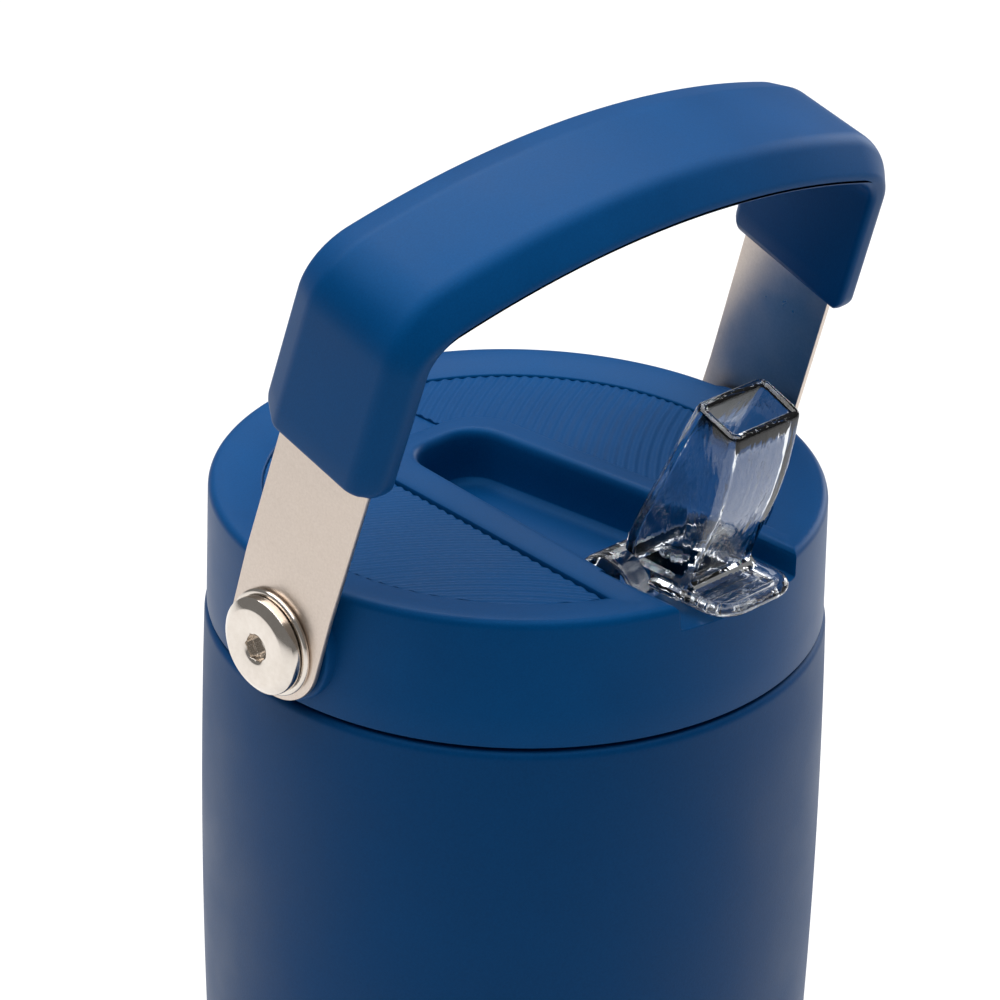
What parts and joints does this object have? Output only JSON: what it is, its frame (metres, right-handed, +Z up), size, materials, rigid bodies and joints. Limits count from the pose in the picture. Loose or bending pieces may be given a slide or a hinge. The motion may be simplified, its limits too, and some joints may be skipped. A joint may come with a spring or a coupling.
{
  "type": "large insulated water jug",
  "caption": "Tall insulated steel jug in blue with a screw-on lid, a flip-up clear drinking spout and a steel bail handle with a moulded grip.",
  "frame": {"origin": "centre of the base, on the surface the jug stands on", "axes": "+Z up along the body's axis, -Y towards the spout, X along the handle's and the spout's hinge axes"},
  "size_m": [0.135, 0.1251, 0.3125],
  "materials": {
    "blue_coat": "fine powder coat, deep blue, low sheen",
    "inner_steel": "turned and electropolished stainless steel",
    "getter_metal": "pressed metal powder pellet",
    "pad_rubber": "soft non-slip rubber",
    "blue_plastic": "satin moulded polypropylene, mid blue",
    "dark_plastic": "moulded polypropylene, charcoal",
    "foam": "closed-cell insulating foam",
    "silicone": "translucent food-grade silicone",
    "clear_plastic": "clear moulded copolyester, polished",
    "brass": "turned brass",
    "strap_steel": "satin stainless strip",
    "bright_steel": "bright nickel-plated steel"
  },
  "bodies": {
    "jug": {"outer_shell": "blue_coat", "inner_flask": "inner_steel", "flask_base": "inner_steel", "base_cap": "inner_steel", "getter": "getter_metal", "base_pad": "pad_rubber"},
    "lid": {"lid_cap": "blue_plastic", "lid_inner": "dark_plastic", "lid_insulation": "foam", "lid_gasket": "silicone", "vent_valve": "silicone", "spout_seal": "silicone", "straw_socket": "silicone", "straw": "clear_plastic", "thread_insert_left": "brass", "thread_insert_right": "brass", "pivot_bush_left": "dark_plastic", "pivot_bush_right": "dark_plastic", "screw_collar_left": "bright_steel", "screw_collar_right": "bright_steel", "shoulder_screw_left": "bright_steel", "shoulder_screw_right": "bright_steel"},
    "handle": {"handle_band": "strap_steel", "handle_grip": "blue_plastic"},
    "spout": {"spout": "clear_plastic"}
  },
  "joints": [
    {"name": "lid_lift", "type": "slide", "parent": "jug", "child": "lid", "axis": [0, 0, 1], "range_m": [0, 0.215]},
    {"name": "handle_pivot", "type": "hinge", "parent": "lid", "child": "handle", "pos_m": [0, 0, 0.222], "axis": [1, 0, 0], "range_deg": [-136, 103]},
    {"name": "spout_flip", "type": "hinge", "parent": "lid", "child": "spout", "pos_m": [0, -0.037, 0.229], "axis": [-1, 0, 0], "range_deg": [0, 115]}
  ]
}
